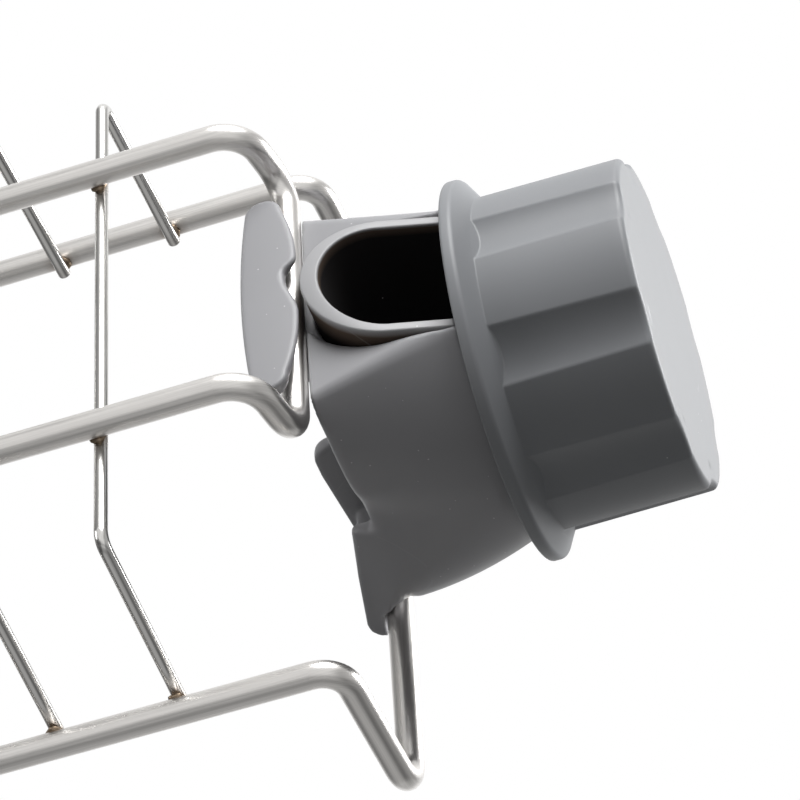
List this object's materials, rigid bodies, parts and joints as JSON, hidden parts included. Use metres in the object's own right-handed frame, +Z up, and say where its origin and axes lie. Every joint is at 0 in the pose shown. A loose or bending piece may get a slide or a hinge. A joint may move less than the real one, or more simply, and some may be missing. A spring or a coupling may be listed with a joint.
{
  "type": "faucet shelf",
  "caption": "Open wire basket held by a moulded clamp with a strap that goes round a faucet's neck and a round knob that draws it tight.",
  "frame": {"origin": "middle of the overall box's underside, on the surface that the floor rails stand on", "axes": "+X along the basket towards the knob, +Y across the basket, +Z up out of the basket"},
  "size_m": [0.3603, 0.1374, 0.0833],
  "materials": {
    "stainless_wire": "polished drawn stainless wire",
    "grey_plastic": "satin moulded grey plastic"
  },
  "bodies": {
    "shelf": {"rim_wire": "stainless_wire", "floor_wire": "stainless_wire", "cross_wire_01": "stainless_wire", "cross_wire_02": "stainless_wire", "cross_wire_03": "stainless_wire", "cross_wire_04": "stainless_wire", "cross_wire_05": "stainless_wire", "cross_wire_06": "stainless_wire", "cross_wire_07": "stainless_wire", "cross_wire_08": "stainless_wire", "cross_wire_09": "stainless_wire", "cross_wire_10": "stainless_wire", "cross_wire_11": "stainless_wire", "clamp_body": "grey_plastic"},
    "strap": {"pipe_strap": "grey_plastic"},
    "knob": {"clamp_knob": "grey_plastic"}
  },
  "joints": [
    {"name": "knob_turn", "type": "hinge", "parent": "shelf", "child": "knob", "pos_m": [0.14695, 0, 0.0465], "axis": [-1, 0, 0], "range_deg": [0, 720]},
    {"name": "strap_draw", "type": "slide", "parent": "shelf", "child": "strap", "axis": [1, 0, 0], "range_m": [0, 0.004]}
  ],
  "couplings": [
    {"joint": "strap_draw", "follows": "knob_turn", "m_per_rad": 0.00031831}
  ]
}
